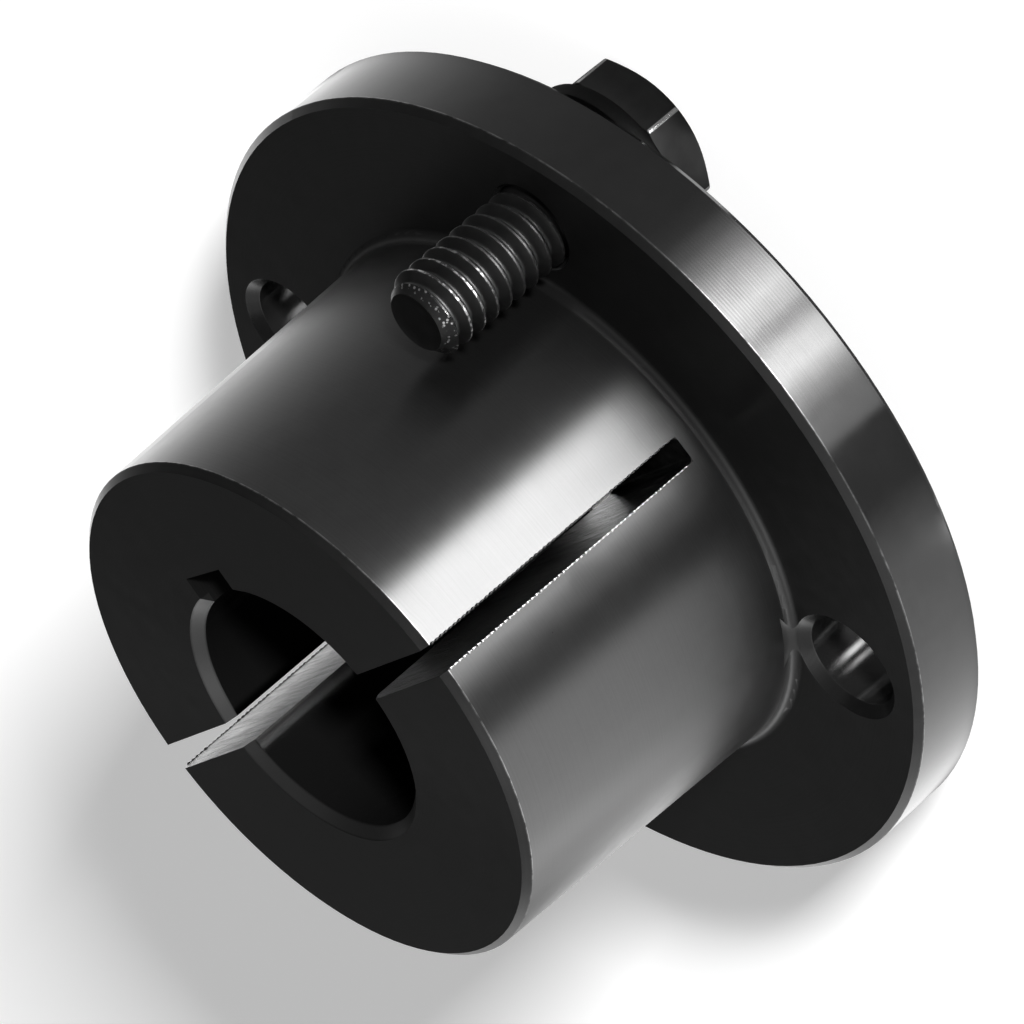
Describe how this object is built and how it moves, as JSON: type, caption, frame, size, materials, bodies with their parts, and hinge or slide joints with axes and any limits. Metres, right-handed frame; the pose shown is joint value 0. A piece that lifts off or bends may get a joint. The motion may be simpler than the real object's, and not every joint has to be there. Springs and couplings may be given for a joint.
{
  "type": "split taper bushing",
  "caption": "Flanged split taper bushing with a keyed bore, sawn slots in its tapered barrel, and cap screws with lock washers threaded into its flange.",
  "frame": {"origin": "on the bore axis, at the back face of the flange, where the lock washers bear", "axes": "+Z along the bore towards the small end of the barrel, +X towards the keyway, with the flange holes on the diagonals between X and Y"},
  "size_m": [0.0635, 0.0634, 0.0367],
  "materials": {
    "black_oxide_steel": "turned and blackened steel, satin, with finely grooved turned faces",
    "black_screw_steel": "black oxide on rolled and forged screw steel, worn bright on the thread crests",
    "black_spring_steel": "black oxide spring steel, dull"
  },
  "bodies": {
    "root": {"bushing": "black_oxide_steel", "cap_screw_1": "black_screw_steel", "cap_screw_2": "black_screw_steel", "lock_washer_1": "black_spring_steel", "lock_washer_2": "black_spring_steel"}
  },
  "joints": []
}
